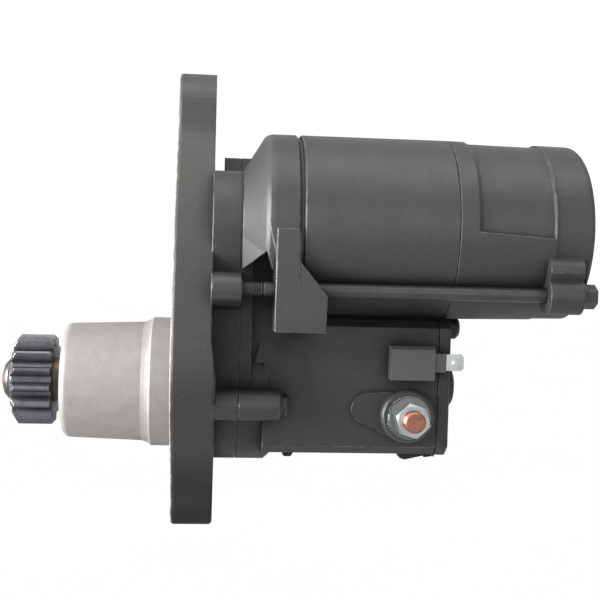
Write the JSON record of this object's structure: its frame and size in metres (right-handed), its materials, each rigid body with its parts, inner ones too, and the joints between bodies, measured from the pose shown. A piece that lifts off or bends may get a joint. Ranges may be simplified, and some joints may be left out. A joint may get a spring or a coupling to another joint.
{
  "type": "starter motor",
  "caption": "Offset gear reduction starter motor: flanged nose, sliding pinion, overrunning clutch, solenoid with copper stud and blade terminal, motor above.",
  "frame": {"origin": "where the pinion axis meets the flange's mounting face", "axes": "+X along the pinion axis towards the rear of the motor, -Y towards the battery terminal, +Z from the pinion axis up towards the motor"},
  "size_m": [0.226, 0.1036, 0.186],
  "materials": {
    "painted_casting": "satin dark grey paint on cast aluminium, bare aluminium at the nose",
    "painted_steel": "satin dark grey paint on smooth steel",
    "painted_fastener": "satin black",
    "bronze": "sintered bronze",
    "rubber": "matt black",
    "bearing_steel": "polished",
    "machined_steel": "machined",
    "dark_steel": "phosphated, oiled",
    "spring_steel": "drawn wire",
    "copper": "plain copper",
    "enamelled_copper": "enamelled winding",
    "insulation_board": "moulded",
    "nylon": "moulded",
    "carbon": "sintered carbon copper",
    "zinc_plate": "bright zinc plate",
    "grey_plastic": "moulded",
    "lead_sheath": "braided sleeve"
  },
  "bodies": {
    "motor_frame": {"drive_housing": "painted_casting", "nose_bearing": "bronze", "nose_oil_seal": "rubber", "clutch_front_bearing": "bearing_steel", "clutch_rear_bearing": "bearing_steel", "switch_case": "painted_casting", "gear_case_gasket": "rubber", "housing_screws": "painted_fastener", "drain_cap": "rubber", "coil_bobbin": "nylon", "coil_winding": "enamelled_copper", "switch_core": "machined_steel", "fixed_contacts": "copper", "switch_end_cover": "painted_casting", "cover_gasket": "rubber", "cover_screws": "painted_fastener", "battery_stud": "copper", "terminal_insulator": "insulation_board", "terminal_washers": "zinc_plate", "battery_nut": "zinc_plate", "motor_stud": "copper", "motor_stud_nut": "zinc_plate", "motor_lead": "lead_sheath", "lead_grommet": "rubber", "connector_block": "grey_plastic", "spade_terminal": "zinc_plate", "idler_pin": "machined_steel", "armature_front_bearing": "bearing_steel", "armature_rear_bearing": "bearing_steel", "yoke": "painted_steel", "yoke_o_rings": "rubber", "pole_shoes": "dark_steel", "field_coils": "enamelled_copper", "brush_holder": "nylon", "brushes": "carbon", "brush_springs": "spring_steel", "end_cover": "painted_casting", "through_bolts": "painted_fastener"},
    "armature": {"armature_shaft": "machined_steel", "armature_core": "dark_steel", "armature_winding": "enamelled_copper", "commutator": "copper"},
    "idler": {"idler_gear": "machined_steel", "idler_rollers": "bearing_steel"},
    "clutch_outer": {"clutch_gear": "machined_steel", "clutch_rollers": "bearing_steel"},
    "clutch_hub": {"clutch_inner": "machined_steel", "return_spring": "spring_steel"},
    "drive_shaft": {"pinion_shaft": "machined_steel", "pinion": "dark_steel", "pinion_stop_collar": "dark_steel", "pinion_snap_ring": "dark_steel", "steel_ball": "bearing_steel"},
    "plunger_set": {"plunger": "machined_steel", "plunger_rod": "bearing_steel", "contact_plate": "copper", "contact_insulator": "insulation_board", "contact_spring": "spring_steel"}
  },
  "joints": [
    {"name": "armature_spin", "type": "hinge", "parent": "motor_frame", "child": "armature", "pos_m": [0.05, -0.018, 0.0641], "axis": [1, 0, 0], "continuous": true},
    {"name": "idler_spin", "type": "hinge", "parent": "motor_frame", "child": "idler", "pos_m": [0.015, -0.00313, 0.04339], "axis": [1, 0, 0], "continuous": true},
    {"name": "clutch_spin", "type": "hinge", "parent": "motor_frame", "child": "clutch_outer", "pos_m": [0.02, 0, 0], "axis": [1, 0, 0], "continuous": true},
    {"name": "pinion_overrun", "type": "hinge", "parent": "clutch_outer", "child": "clutch_hub", "pos_m": [0, 0, 0], "axis": [1, 0, 0], "continuous": true},
    {"name": "plunger_slide", "type": "slide", "parent": "motor_frame", "child": "plunger_set", "axis": [-1, 0, 0], "range_m": [0, 0.012], "stiffness_N_per_m": 150, "springref_m": -0.02},
    {"name": "pinion_slide", "type": "slide", "parent": "clutch_hub", "child": "drive_shaft", "axis": [-1, 0, 0], "range_m": [0, 0.012], "deforming": ["return_spring"]}
  ],
  "couplings": [
    {"joint": "idler_spin", "follows": "armature_spin", "ratio": -0.41667},
    {"joint": "clutch_spin", "follows": "armature_spin", "ratio": 0.29412},
    {"joint": "pinion_slide", "follows": "plunger_slide", "ratio": 1}
  ]
}
